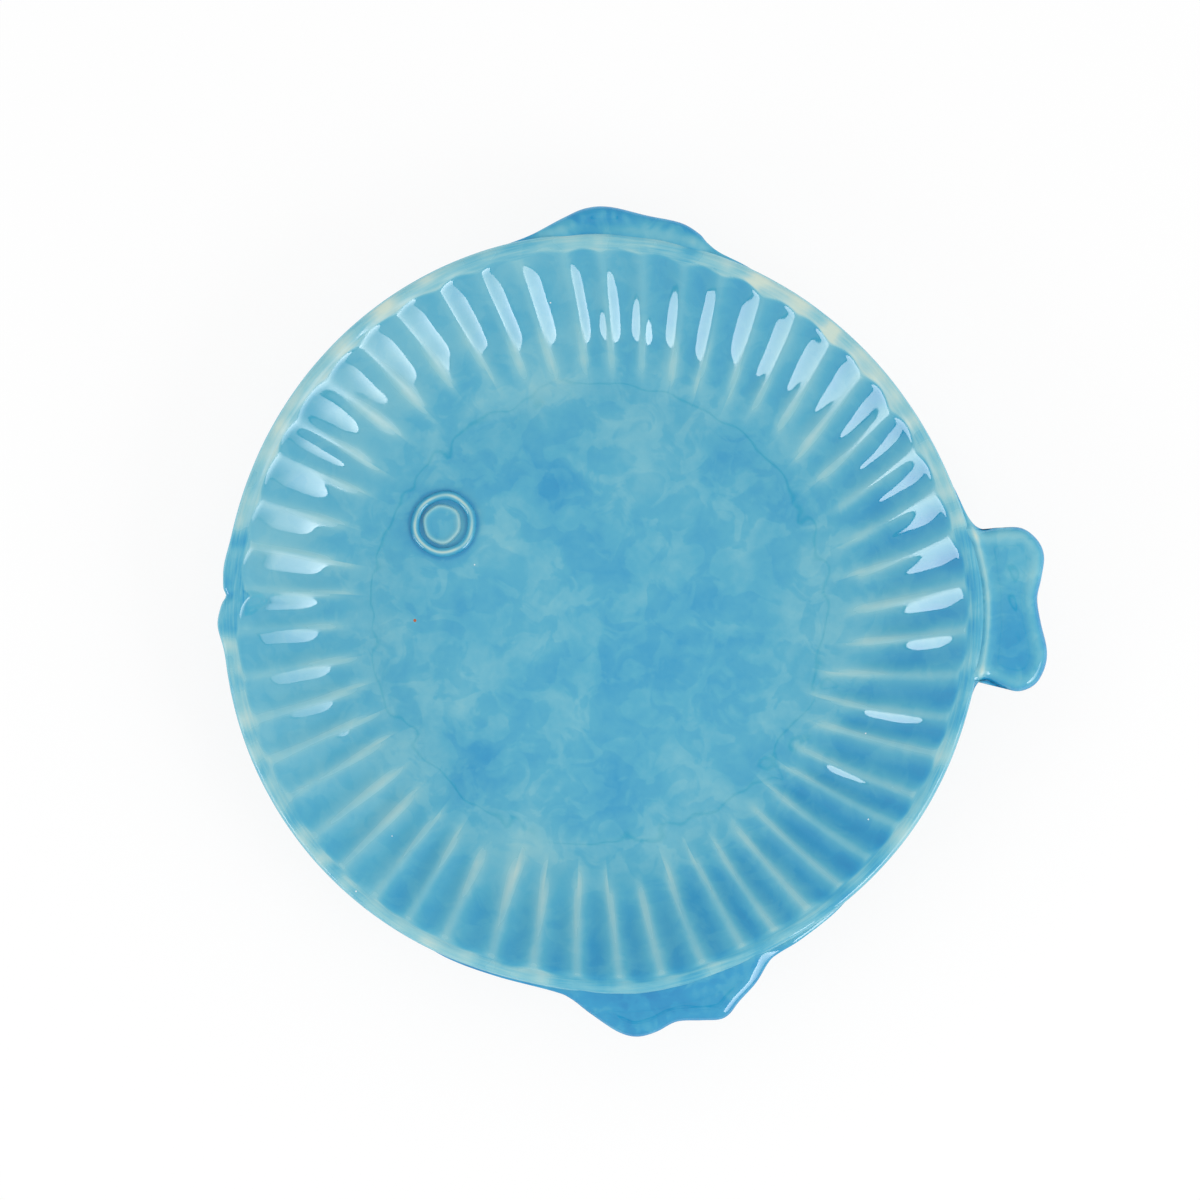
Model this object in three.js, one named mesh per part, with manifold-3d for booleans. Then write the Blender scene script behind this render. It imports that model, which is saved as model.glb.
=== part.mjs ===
// Fish-shaped salad plate in glazed stoneware: a round dish with a fluted wall, joined to a foot ring,
// two fins, a tail and an eye. Millimetres, +Z up, mouth towards -X, dorsal fin towards +Y.
// The origin is on the table, under the middle of the plate's outer box.

import * as THREE from 'three';
import { mergeVertices } from 'three/addons/utils/BufferGeometryUtils.js';
import Module from 'manifold-3d';

// Dish
const rimRadius = 105;
const rimWidth = 3.8;
const rimThickness = 6;
const rimRound = 1.6;
const wellRadius = 66;
const wallRise = 19;
const wallCurve = 1.5; // 1 gives a straight cone, more makes the wall turn up towards the rim
const floorThickness = 5;
const undersideInset = 3; // from the edge of the well to where the underside starts to rise
const footHeight = 3;
const footWidth = 5;
const footInset = 8; // from the edge of the well to the outside of the foot
const footRound = 0.8;

// Flutes pressed into the wall, angles in degrees
const fluteCount = 52;
const fluteDepth = 1.4;
const fluteStart = 5.4;
const fluteSwirl = 0.07; // degrees per millimetre of radius
const fluteLead = 3; // from the edge of the well to the inner end of a flute
const fluteRunIn = 12; // length over which a flute deepens
const fluteRunOut = 3.6; // length of its rounded outer end

// Hand-made unevenness: the size of a wave, how many lobes it has and the angle of one crest in degrees.
const rimWaves = [
  { size: 0.46, lobes: 1, crest: 92 },
  { size: 0.49, lobes: 2, crest: 134 },
  { size: 0.63, lobes: 3, crest: 98 },
];
const spacingWaves = [
  { size: 4.1, lobes: 1, crest: 199 },
  { size: 1.1, lobes: 2, crest: 50 },
  { size: 1.2, lobes: 3, crest: 41 },
];

// Places where the rim stands out: how far in millimetres, where and how wide in degrees.
const upperLip = { reach: 0.7, at: 173, spread: 2.2 };
const lowerLip = { reach: 1.6, at: 181.6, spread: 2 };
const tailRoot = { reach: 1.8, at: 2, spread: 8 };
const ventralRoot = { reach: 2.2, at: 277, spread: 9 };

// Crease of the mouth, cut across the rim
const mouthAngle = 177.6;
const mouthSlant = 23; // degrees away from the radius, the inner end towards the dorsal fin
const mouthDepth = 2.1;
const mouthHalfWidth = 1.3;
const mouthLength = 6.2; // from the rim's edge inwards

// Eye, in the well
const eyeAngle = 149.6;
const eyeMargin = 6.7; // from the edge of the well to the outside of the ring
const eyeRingRadius = 9.2;
const eyeRingWidth = 2;
const eyeRingHeight = 1.3;
const pupilRadius = 5.2;
const pupilHeight = 1.2;
const pupilDish = 0.4;
const eyeRound = 0.7;

// Fins and tail
const finThickness = 4.4;
const finEndThickness = 2.2;
const finDrop = 1.5; // top of a fin below the top of the rim
const finDish = 0.9;
const finBorder = 2.4; // from the outline to the crest of the raised border
const finTaper = 9; // a fin thins out where it reaches less than this beyond the rim
const jointGap = 0.3; // left between the dish and a fin

// How far each one reaches beyond the rim, and its outline clockwise from above. A point of an outline is
// [angle in degrees, share of the reach].
const dorsalReach = 7.6;
const dorsalOutline = [
  [112, 0.12], [104, 0.16], [98, 0.3], [94, 0.75], [90, 1], [86, 0.92], [83.5, 0.78], [78, 0.72],
  [76, 0.59], [74, 0.33], [72, 0.18], [69, 0.15],
];
const ventralReach = 11.8;
const ventralOutline = [
  [308, 0.1], [302, 0.11], [297, 0.2], [294, 0.43], [288, 0.99], [286, 0.98], [282, 0.81], [279, 0.82],
  [275.5, 1], [273, 0.94], [266, 0.29], [263, 0.13], [256, 0.1], [243, 0.08],
];
const tailReach = 18.4;
const tailOutline = [
  [12.6, 0.13], [12.2, 0.52], [11, 0.86], [8.9, 0.98], [6.8, 0.995], [1, 0.83], [-5.6, 1], [-8.4, 0.96],
  [-10.4, 0.76], [-10.5, 0.54], [-9.9, 0.15],
];
const sliceTurn = 0.7; // how far the slices of a fin turn from even spacing on the rim towards the radius

// Fineness of the faceted surfaces
const stepsPerFlute = 4;
const wallSteps = 9;
const undersideSteps = 4;
const cornerSteps = 2;
const finSteps = 32;
const edgeSteps = 4;
const roundSteps = 48;
const mergeDistance = 1e-3;

// Sizes that follow from the ones above
const turn = 2 * Math.PI;
const toRadians = THREE.MathUtils.DEG2RAD;
const wellFloor = footHeight + floorThickness;
const rimTop = wellFloor + wallRise;
const rimInner = rimRadius - rimWidth;
const fluteInner = wellRadius + fluteLead;
const footRadius = wellRadius - footInset;
const eyeDistance = wellRadius - eyeMargin - eyeRingRadius;

const { clamp, lerp, smoothstep } = THREE.MathUtils;

const glazeColours = { dish: 0x58accd, fin: 0x4fa3cc, tail: 0x55a8cd, ring: 0x9cc8cf, pupil: 0x86bfd0 };
const clayColour = 0xd8c9ae;

function glazed(colour) {
  return new THREE.MeshStandardMaterial({ color: colour, roughness: 0.12, metalness: 0 });
}

function named(name, geometry, material) {
  const mesh = new THREE.Mesh(geometry, material);
  mesh.name = name;
  return mesh;
}

function waveSum(waves, angle) {
  const lift = ({ size, lobes, crest }) => size * Math.cos(lobes * (angle - crest * toRadians));
  return waves.reduce((sum, wave) => sum + lift(wave), 0);
}

// The same angle within half a turn either way
function wrapped(angle) {
  return THREE.MathUtils.euclideanModulo(angle + turn / 2, turn) - turn / 2;
}

function swell({ reach, at, spread }, angle) {
  const away = wrapped(angle - at * toRadians) / toRadians;
  return reach * Math.exp(-0.5 * (away / spread) ** 2);
}

// How far the rim leaves its true circle at an angle in radians
function rimOffset(angle) {
  const places = [upperLip, lowerLip, tailRoot, ventralRoot];
  return places.reduce((sum, place) => sum + swell(place, angle), waveSum(rimWaves, angle));
}

function rimPoint(angle, reach, height) {
  const radius = rimRadius + rimOffset(angle) + reach;
  return new THREE.Vector3(radius * Math.cos(angle), radius * Math.sin(angle), height);
}

// Height of the ridges between the flutes
function wallTop(radius) {
  const along = clamp((radius - wellRadius) / (rimInner - wellRadius), 0, 1);
  return wellFloor + wallRise * along ** wallCurve;
}

function underside(radius) {
  const start = wellRadius + undersideInset;
  const along = clamp((radius - start) / (rimRadius - rimRound - start), 0, 1);
  return footHeight + (rimTop - rimThickness - footHeight) * along ** wallCurve;
}

function depthOfFlute(radius) {
  const runIn = smoothstep(radius, fluteInner, fluteInner + fluteRunIn);
  const runOut = smoothstep(radius, rimInner - fluteRunOut, rimInner);
  return fluteDepth * runIn * (1 - runOut);
}

// Quarter round about a centre, from one angle to another, as profile points
function corner(radius, height, round, from, to, steps) {
  return Array.from({ length: steps + 1 }, (_, k) => {
    const angle = lerp(from, to, k / steps);
    return new THREE.Vector2(radius + round * Math.cos(angle), height + round * Math.sin(angle));
  });
}

// The dish's half section, from the middle of its underside round the rim to the middle of the well
function dishProfile() {
  const points = [new THREE.Vector2(0, footHeight)];
  const underStart = wellRadius + undersideInset;
  for (let k = 0; k < undersideSteps; k++) {
    const radius = lerp(underStart, rimRadius - rimRound, k / undersideSteps);
    points.push(new THREE.Vector2(radius, underside(radius)));
  }
  const roundCentre = rimRadius - rimRound;
  const lowCentre = rimTop - rimThickness + rimRound;
  points.push(...corner(roundCentre, lowCentre, rimRound, -Math.PI / 2, 0, cornerSteps));
  points.push(...corner(roundCentre, rimTop - rimRound, rimRound, 0, Math.PI / 2, cornerSteps));
  const crowding = 1.4; // brings the steps closer together towards the rim
  for (let k = 0; k <= wallSteps; k++) {
    const radius = lerp(rimInner, wellRadius, (k / wallSteps) ** crowding);
    points.push(new THREE.Vector2(radius, wallTop(radius)));
  }
  points.push(new THREE.Vector2(0, wellFloor));
  return points;
}

// The profile is turned, then each vertex is moved: the wall is pressed down into flutes, whose ridges
// drift from even spacing and swirl a little, and the rim takes its unevenness.
function dishGeometry() {
  const profile = dishProfile();
  const firstWallPoint = profile.length - wallSteps - 2;
  const segments = fluteCount * stepsPerFlute;
  const geometry = new THREE.LatheGeometry(profile, segments);
  const position = geometry.attributes.position;
  for (let v = 0; v < position.count; v++) {
    const column = Math.floor(v / profile.length) % segments;
    const row = v % profile.length;
    const { x: radius, y: height } = profile[row];
    const even = turn * column / segments;
    const drift = fluteStart + waveSum(spacingWaves, even) + fluteSwirl * (radius - wellRadius);
    const angle = even + drift * toRadians;
    const acrossFlute = 2 * (column % stepsPerFlute) / stepsPerFlute - 1;
    const pressed = row >= firstWallPoint ? depthOfFlute(radius) * (1 - acrossFlute ** 2) : 0;
    const share = clamp((radius - wellRadius) / (rimRadius - wellRadius), 0, 1);
    const moved = radius + share * rimOffset(angle);
    position.setXYZ(v, moved * Math.cos(angle), moved * Math.sin(angle), height - pressed);
  }
  return geometry;
}

// A wedge along the crease of the mouth, its edge down
function mouthWedge() {
  const above = 1; // how far the wedge stands over the rim and past its edge
  const halfTop = mouthHalfWidth * (mouthDepth + above) / mouthDepth;
  const section = new THREE.Shape();
  section.moveTo(0, 0);
  section.lineTo(halfTop, mouthDepth + above);
  section.lineTo(-halfTop, mouthDepth + above);
  section.closePath();
  const outside = lowerLip.reach + above;
  const wedge = new THREE.ExtrudeGeometry(section, { depth: mouthLength + outside, bevelEnabled: false });
  wedge.translate(0, 0, -outside);
  wedge.rotateX(Math.PI / 2); // it now runs inwards along -Y
  wedge.rotateZ((mouthAngle + 180 + mouthSlant + 90) * toRadians);
  const place = rimPoint(mouthAngle * toRadians, 0, rimTop - mouthDepth);
  return wedge.translate(place.x, place.y, place.z);
}

const wasm = await Module();
wasm.setup();

function toSolid(geometry) {
  const bare = geometry.clone();
  bare.deleteAttribute('normal');
  bare.deleteAttribute('uv');
  const merged = mergeVertices(bare, mergeDistance);
  const index = merged.index.array;
  const corners = [];
  for (let k = 0; k < index.length; k += 3) {
    const [a, b, c] = index.slice(k, k + 3);
    if (a !== b && b !== c && c !== a) corners.push(a, b, c);
  }
  const vertProperties = new Float32Array(merged.attributes.position.array);
  return new wasm.Manifold(new wasm.Mesh({ numProp: 3, vertProperties, triVerts: new Uint32Array(corners) }));
}

function toGeometry(solid) {
  const { vertProperties, triVerts } = solid.getMesh();
  const geometry = new THREE.BufferGeometry();
  geometry.setAttribute('position', new THREE.BufferAttribute(vertProperties, 3));
  geometry.setIndex(new THREE.BufferAttribute(triVerts, 1));
  geometry.computeVertexNormals();
  return geometry;
}

function plateBody() {
  const solid = toSolid(dishGeometry()).subtract(toSolid(mouthWedge()));
  return named('plate_body', toGeometry(solid), glazed(glazeColours.dish));
}

// A profile turned round the Z axis
function turned(profile, steps) {
  return new THREE.LatheGeometry(profile, steps).rotateX(Math.PI / 2);
}

// A ring of rectangular section with its free corners rounded. Side is 1 for rounding on top, -1 below.
function ringGeometry(outer, width, low, high, round, side) {
  const seat = side > 0 ? low : high;
  const crest = (side > 0 ? high : low) - side * round;
  const quarter = side * Math.PI / 2;
  const outerRound = corner(outer - round, crest, round, 0, quarter, cornerSteps);
  const innerRound = corner(outer - width + round, crest, round, quarter, 2 * quarter, cornerSteps);
  const loop = [
    new THREE.Vector2(outer - width, seat),
    new THREE.Vector2(outer, seat),
    ...outerRound,
    ...innerRound,
    new THREE.Vector2(outer - width, seat),
  ];
  return turned(side > 0 ? loop : loop.reverse(), roundSteps);
}

function footRing() {
  const clay = new THREE.MeshStandardMaterial({ color: clayColour, roughness: 0.85, metalness: 0 });
  return named('foot_ring', ringGeometry(footRadius, footWidth, 0, footHeight, footRound, -1), clay);
}

function eye() {
  const group = new THREE.Group();
  const angle = eyeAngle * toRadians;
  group.position.set(eyeDistance * Math.cos(angle), eyeDistance * Math.sin(angle), wellFloor);
  const ring = ringGeometry(eyeRingRadius, eyeRingWidth, 0, eyeRingHeight, eyeRound, 1);
  const pupilProfile = [
    new THREE.Vector2(0, 0),
    new THREE.Vector2(pupilRadius, 0),
    ...corner(pupilRadius - eyeRound, pupilHeight - eyeRound, eyeRound, 0, Math.PI / 2, cornerSteps),
    new THREE.Vector2(pupilRadius / 2, pupilHeight - pupilDish),
    new THREE.Vector2(0, pupilHeight - pupilDish),
  ];
  group.add(named('eye_ring', ring, glazed(glazeColours.ring)));
  group.add(named('eye_pupil', turned(pupilProfile, roundSteps), glazed(glazeColours.pupil)));
  return group;
}

// A closed skin over sections with the same number of points each, with flat ends
function loft(sections) {
  const size = sections[0].length;
  const last = (sections.length - 1) * size;
  const index = [];
  for (let start = 0; start < last; start += size) {
    for (let k = 0; k < size; k++) {
      const next = (k + 1) % size;
      index.push(start + k, start + next, start + size + next);
      index.push(start + k, start + size + next, start + size + k);
    }
  }
  for (let k = 1; k < size - 1; k++) {
    index.push(0, k + 1, k);
    index.push(last, last + k, last + k + 1);
  }
  const geometry = new THREE.BufferGeometry().setFromPoints(sections.flat());
  geometry.setIndex(index);
  geometry.computeVertexNormals();
  return geometry;
}

// One slice of a fin from its root on the rim to its outline: flat below, a round edge, a raised border
// and a dished top
function finSection(root, edge) {
  const width = root.distanceTo(edge);
  const thickness = lerp(finEndThickness, finThickness, smoothstep(width, 0, finTaper));
  const top = rimTop - finDrop;
  const bottom = top - thickness;
  const round = Math.min(thickness / 2, width / 2);
  const dish = finDish * smoothstep(width, 0, finTaper);
  const at = (distance, height) => root.clone().lerp(edge, distance / width).setZ(height);
  const roundEdge = Array.from({ length: edgeSteps + 1 }, (_, k) => {
    const angle = lerp(-Math.PI / 2, Math.PI / 2, k / edgeSteps);
    return at(width - round + round * Math.cos(angle), bottom + thickness * (1 + Math.sin(angle)) / 2);
  });
  const crest = (width - round) * clamp(1 - finBorder / width, 0.4, 0.9);
  return [
    at(0, bottom),
    ...roundEdge,
    at(crest, top),
    at(crest / 2, top - dish),
    at(0, top - dish / 2),
  ];
}

function fin(name, outline, reach, colour) {
  const edgePoints = outline.map(([angle, share]) => rimPoint(angle * toRadians, share * reach, 0));
  const edge = new THREE.CatmullRomCurve3(edgePoints);
  const first = outline[0][0] * toRadians;
  const last = outline[outline.length - 1][0] * toRadians;
  const sections = Array.from({ length: finSteps + 1 }, (_, k) => {
    const along = k / finSteps;
    const tip = edge.getPointAt(along);
    const even = lerp(first, last, along);
    const radial = even + wrapped(Math.atan2(tip.y, tip.x) - even);
    return finSection(rimPoint(lerp(even, radial, sliceTurn), jointGap, 0), tip);
  });
  return named(name, loft(sections), glazed(colour));
}

const plate = new THREE.Group();
plate.add(plateBody());
plate.add(footRing());
plate.add(fin('dorsal_fin', dorsalOutline, dorsalReach, glazeColours.fin));
plate.add(fin('ventral_fin', ventralOutline, ventralReach, glazeColours.fin));
plate.add(fin('tail_fin', tailOutline, tailReach, glazeColours.tail));
plate.add(eye());

const box = new THREE.Box3().setFromObject(plate, true);
const middle = box.getCenter(new THREE.Vector3());
plate.position.set(-middle.x, -middle.y, -box.min.z);

export default plate;
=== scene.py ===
from math import cos, pi, radians, sin, tan

import bmesh
import bpy
import numpy as np
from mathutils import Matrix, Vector


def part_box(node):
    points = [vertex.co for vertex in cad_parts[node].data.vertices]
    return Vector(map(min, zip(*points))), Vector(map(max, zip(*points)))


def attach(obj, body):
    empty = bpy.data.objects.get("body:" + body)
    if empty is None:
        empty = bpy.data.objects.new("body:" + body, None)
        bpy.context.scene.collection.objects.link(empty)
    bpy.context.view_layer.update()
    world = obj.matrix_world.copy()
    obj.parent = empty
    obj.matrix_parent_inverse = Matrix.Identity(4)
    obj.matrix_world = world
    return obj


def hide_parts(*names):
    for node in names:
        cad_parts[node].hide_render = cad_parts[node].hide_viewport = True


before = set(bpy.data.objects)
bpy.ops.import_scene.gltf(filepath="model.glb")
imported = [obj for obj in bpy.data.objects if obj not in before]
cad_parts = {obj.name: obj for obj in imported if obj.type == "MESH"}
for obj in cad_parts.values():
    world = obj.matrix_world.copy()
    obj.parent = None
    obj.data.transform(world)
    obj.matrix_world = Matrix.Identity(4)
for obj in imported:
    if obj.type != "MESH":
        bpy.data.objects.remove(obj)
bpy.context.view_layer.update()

# Plan sizes are in millimetres from the middle of the dish, angles in degrees anticlockwise from the tail
mm = 0.001
footLow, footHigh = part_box("foot_ring")
ringLow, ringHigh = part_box("eye_ring")
pupilLow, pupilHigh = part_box("eye_pupil")
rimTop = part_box("plate_body")[1].z / mm
dishCentre = (footLow + footHigh) / 2
dishX = dishCentre.x / mm
dishY = dishCentre.y / mm
footTop = footHigh.z / mm
wellFloor = ringLow.z / mm
eyeShift = (-0.7, 0.4)  # from the solid's place to the one in the photo
eyeCentre = (ringLow + ringHigh) / 2
eyeX = eyeCentre.x / mm - dishX + eyeShift[0]
eyeY = eyeCentre.y / mm - dishY + eyeShift[1]

print("frame read: dish centre", round(dishX, 2), round(dishY, 2), "rim top", round(rimTop, 2))


def smooth(value, start, end):  # 0 up to start, 1 from end on, eased between
    share = np.clip((value - start) / (end - start), 0, 1)
    return share * share * (3 - 2 * share)


def hump(value, at, spread):  # 1 at a value, falling off on both sides
    return np.exp(-((value - at) / spread) ** 2)


def turnTo(angle, at):  # degrees from one direction to another, within half a turn
    return (np.degrees(angle) - at + 180) % 360 - 180


def between(angle, first, last, soft):  # 1 between two directions, 0 elsewhere
    half = (last - first) / 2
    away = np.abs(turnTo(angle, (first + last) / 2))
    return 1 - smooth(away, half - soft, half + soft)


def waves(angle, terms):  # each term is size, lobes, direction of a crest
    return sum(size * np.cos(lobes * (angle - radians(crest))) for size, lobes, crest in terms)


def lowerOf(a, b, blend):  # the lower of two surfaces with a rounded meeting
    share = np.clip(0.5 + 0.5 * (b - a) / blend, 0, 1)
    return b + (a - b) * share - blend * share * (1 - share)


# Smooth unevenness of the hand: slow ripples in seeded directions, added up
def wander(x, y, size, wavelength, seed):
    count = 14
    draw = np.random.default_rng(seed)
    heading = draw.uniform(0, 2 * pi, count)
    start = draw.uniform(0, 2 * pi, count)
    lengths = wavelength * draw.uniform(0.7, 1.5, count)
    total = 0
    for k in range(count):
        along = x * cos(heading[k]) + y * sin(heading[k])
        total = total + np.cos(2 * pi * along / lengths[k] + start[k])
    return size * total * (2 / count) ** 0.5


# Shader maths
class Socket:
    def __init__(self, tree, out):
        self.tree = tree
        self.out = out

    def plug(self, target, value):
        if isinstance(value, Socket):
            self.tree.links.new(value.out, target)
        else:
            target.default_value = value

    def node(self, kind, settings=None, stops=None, pick=0, **sockets):  # _2 means the socket number 2
        made = self.tree.nodes.new(kind)
        for key, value in (settings or {}).items():
            setattr(made, key, value)
        if stops:
            ramp = made.color_ramp
            while len(ramp.elements) < len(stops):
                ramp.elements.new(1)
            for element, (place, colour) in zip(ramp.elements, stops):
                element.position = place
                element.color = (*colour, 1)
        for key, value in sockets.items():
            name = int(key[1:]) if key[0] == "_" else key.replace("_", " ")
            self.plug(made.inputs[name], value)
        return Socket(self.tree, made.outputs[pick])

    def math(self, operation, *values):
        named = {f"_{k}": value for k, value in enumerate(values)}
        return self.node("ShaderNodeMath", {"operation": operation}, **named)

    def vector(self, operation, *values, pick=0):
        named = {f"_{k}": value for k, value in enumerate(values)}
        return self.node("ShaderNodeVectorMath", {"operation": operation}, pick=pick, **named)

    def __add__(self, other):
        return self.math("ADD", self, other)

    def __radd__(self, other):
        return self.math("ADD", other, self)

    def __sub__(self, other):
        return self.math("SUBTRACT", self, other)

    def __rsub__(self, other):
        return self.math("SUBTRACT", other, self)

    def __mul__(self, other):
        return self.math("MULTIPLY", self, other)

    def __rmul__(self, other):
        return self.math("MULTIPLY", other, self)

    def __truediv__(self, other):
        return self.math("DIVIDE", self, other)

    def __rtruediv__(self, other):
        return self.math("DIVIDE", other, self)

    def __pow__(self, other):
        return self.math("POWER", self, other)

    def __rpow__(self, other):
        return self.math("POWER", other, self)

    def __gt__(self, other):
        return self.math("GREATER_THAN", self, other)

    def __lt__(self, other):
        return self.math("LESS_THAN", self, other)

    def step(self, start, end):  # 0 at start, 1 at end, eased between
        settings = {"interpolation_type": "SMOOTHSTEP"}
        return self.node("ShaderNodeMapRange", settings, Value=self, From_Min=start, From_Max=end)

    def hump(self, at, spread):
        return self.math("EXPONENT", ((self - at) / spread) ** 2 * -1)

    def noise(self, size, detail=2.0, roughness=0.5, distortion=0.0):  # self is a place, size in its units
        return self.node("ShaderNodeTexNoise", Vector=self, Scale=1 / size, Detail=detail,
                         Roughness=roughness, Distortion=distortion)

    def blend(self, under, over):  # self is the share of the upper colour
        return self.node("ShaderNodeMix", {"data_type": "RGBA"}, pick=2, _0=self, _6=under, _7=over)


def newMaterial(name):
    material = bpy.data.materials.new(name)
    material.use_nodes = True
    tree = material.node_tree
    tree.nodes.clear()
    output = tree.nodes.new("ShaderNodeOutputMaterial")
    return material, Socket(tree, None), output


# Place on the plate in millimetres from the middle of the dish, from the object's own coordinates
def platePlace(start):
    metres = start.node("ShaderNodeTexCoord", pick=3)
    fromCentre = start.vector("SUBTRACT", metres, (dishX * mm, dishY * mm, 0))
    return start.vector("MULTIPLY", fromCentre, (1 / mm, 1 / mm, 1 / mm))


glaze = {
    "stops": [  # thickness and colour: cream clay showing through, then turquoise, then deep blue
        (0.00, (0.580, 0.680, 0.570)),
        (0.25, (0.350, 0.575, 0.590)),
        (0.45, (0.235, 0.520, 0.580)),
        (0.70, (0.145, 0.455, 0.570)),
        (1.00, (0.068, 0.382, 0.545)),
        (1.45, (0.018, 0.290, 0.525)),
        (2.00, (0.006, 0.222, 0.475)),
    ],
    "cloudSize": 14, "cloudShare": 0.95,
    "patchSize": 8.7, "patchShare": 0.17, "patchFrom": 0.45, "patchTo": 0.55,
    "grainSize": 3, "grainShare": 0.28,
    "wallCalm": 0.45, "calmFrom": 66, "calmTo": 84,  # less mottle up the wall
    "streakLength": 15, "streakWidth": 0.7, "streakShare": 1.4, "streakRadius": 105,
    "roughness": 0.045, "roughnessSpread": 0.05,
    "thinRoughness": 0.35, "thinFrom": 0.8, "thinTo": 0.45,
    "ior": 1.7,
    "rippleSize": 7, "rippleHeight": 0.012,
    "pinholeSpacing": 11, "pinholeRadius": 0.22, "pinholeShare": 0.28,
    "pinholeColour": (0.8, 0.82, 0.8, 1),
    "speck": (-52, -1.4, 8), "speckRadius": 0.45, "speckColour": (0.40, 0.10, 0.03, 1),
    "moatAt": 9.5, "moatSpread": 0.7, "moatDepth": 0.45,  # round the eye's ring
    "eyeGap": 6.5, "eyeGapSpread": 0.65, "eyeGapDepth": 0.4,  # between ring and pupil
}


# Colour and gloss follow the thickness that each point of the mesh carries
def glazeMaterial(name, cloudy=1.0, onDish=False):
    material, start, output = newMaterial(name)
    place = platePlace(start)
    thickness = start.node("ShaderNodeAttribute", {"attribute_name": "glaze"}, pick=2)
    lip = start.node("ShaderNodeAttribute", {"attribute_name": "lip"}, pick=2)
    flat = start.vector("MULTIPLY", place, (1, 1, 0))
    reach = start.vector("LENGTH", flat, pick=1)
    # mottle of the glaze
    clouds = place.noise(glaze["cloudSize"], 3, 0.5, 0.5) - 0.5
    patches = place.noise(glaze["patchSize"], 3, 0.5, 0.8)
    patches = patches.step(glaze["patchFrom"], glaze["patchTo"]) - 0.5
    grain = place.noise(glaze["grainSize"], 2, 0.5, 0.4) - 0.5
    uneven = clouds * (glaze["cloudShare"] * cloudy) + patches * glaze["patchShare"]
    uneven = uneven + grain * glaze["grainShare"]
    if onDish:
        uneven = uneven * (1 - reach.step(glaze["calmFrom"], glaze["calmTo"]) * glaze["wallCalm"])
    # across the rim the places are spread far apart, so the noise comes out as streaks along it
    around = start.vector("NORMALIZE", flat)
    acrossRim = start.node("ShaderNodeCombineXYZ", Z=reach * (glaze["streakLength"] / glaze["streakWidth"]))
    alongRim = start.vector("MULTIPLY", around, (glaze["streakRadius"], glaze["streakRadius"], 0))
    rimPlace = start.vector("ADD", alongRim, acrossRim)
    streaks = rimPlace.noise(glaze["streakLength"], 3, 0.6, 0.3) - 0.5
    uneven = uneven + streaks * lip * glaze["streakShare"]
    depth = thickness * (1 + uneven)
    if onDish:  # pools round the eye, on the upper face only
        fromEye = start.vector("DISTANCE", flat, (eyeX, eyeY, 0), pick=1)
        pools = fromEye.hump(glaze["moatAt"], glaze["moatSpread"]) * glaze["moatDepth"]
        pools = pools + fromEye.hump(glaze["eyeGap"], glaze["eyeGapSpread"]) * glaze["eyeGapDepth"]
        height = start.node("ShaderNodeSeparateXYZ", pick=2, Vector=place)
        depth = depth + pools * (height > (footTop + wellFloor) / 2)
    thickest = glaze["stops"][-1][0]
    stops = [(at / thickest, colour) for at, colour in glaze["stops"]]
    colour = start.node("ShaderNodeValToRGB", stops=stops, Fac=depth / thickest)
    # pinholes in a few of the cells
    cells = {"Vector": place, "Scale": 1 / glaze["pinholeSpacing"]}
    near = start.node("ShaderNodeTexVoronoi", pick=0, **cells)
    cellColour = start.node("ShaderNodeTexVoronoi", pick=1, **cells)
    chance = start.node("ShaderNodeSeparateColor", Color=cellColour)
    pinhole = near < glaze["pinholeRadius"] / glaze["pinholeSpacing"]
    pinhole = pinhole * (chance > 1 - glaze["pinholeShare"])
    colour = pinhole.blend(colour, glaze["pinholeColour"])
    if onDish:  # one red speck
        fromSpeck = start.vector("DISTANCE", place, glaze["speck"], pick=1)
        colour = (fromSpeck < glaze["speckRadius"]).blend(colour, glaze["speckColour"])
    roughness = glaze["roughness"] + grain * glaze["roughnessSpread"]
    roughness = roughness + thickness.step(glaze["thinFrom"], glaze["thinTo"]) * glaze["thinRoughness"]
    ripple = place.noise(glaze["rippleSize"], 2, 0.4)
    bump = start.node("ShaderNodeBump", Strength=1.0, Distance=glaze["rippleHeight"] * mm, Height=ripple)
    shader = start.node("ShaderNodeBsdfPrincipled", Base_Color=colour, Roughness=roughness,
                        IOR=glaze["ior"], Normal=bump)
    start.plug(output.inputs[0], shader)
    return material


clay = {
    "pale": (0.72, 0.62, 0.47, 1), "dark": (0.58, 0.47, 0.33, 1),
    "grainSize": 2.4, "paleTo": 0.35, "darkFrom": 0.65,
    "fleck": (0.20, 0.12, 0.06, 1), "fleckSpacing": 2.6, "fleckRadius": 0.22,
    "roughness": 0.8, "roughnessSpread": 0.15,
    "toolMark": 0.7, "toolShare": 0.25, "relief": 0.08,
}


def clayMaterial(name):
    material, start, output = newMaterial(name)
    place = platePlace(start)
    grain = place.noise(clay["grainSize"], 5, 0.65)
    colour = grain.step(clay["paleTo"], clay["darkFrom"]).blend(clay["pale"], clay["dark"])
    near = start.node("ShaderNodeTexVoronoi", Vector=place, Scale=1 / clay["fleckSpacing"])
    colour = (near < clay["fleckRadius"] / clay["fleckSpacing"]).blend(colour, clay["fleck"])
    flat = start.vector("MULTIPLY", place, (1, 1, 0))
    reach = start.vector("LENGTH", flat, pick=1)
    marks = start.math("SINE", reach * (2 * pi / clay["toolMark"]))  # rings left by the turning tool
    bump = start.node("ShaderNodeBump", Strength=0.6, Distance=clay["relief"] * mm,
                      Height=grain + marks * clay["toolShare"])
    roughness = clay["roughness"] + grain * clay["roughnessSpread"]
    shader = start.node("ShaderNodeBsdfPrincipled", Base_Color=colour, Roughness=roughness, Normal=bump)
    start.plug(output.inputs[0], shader)
    return material


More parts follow.
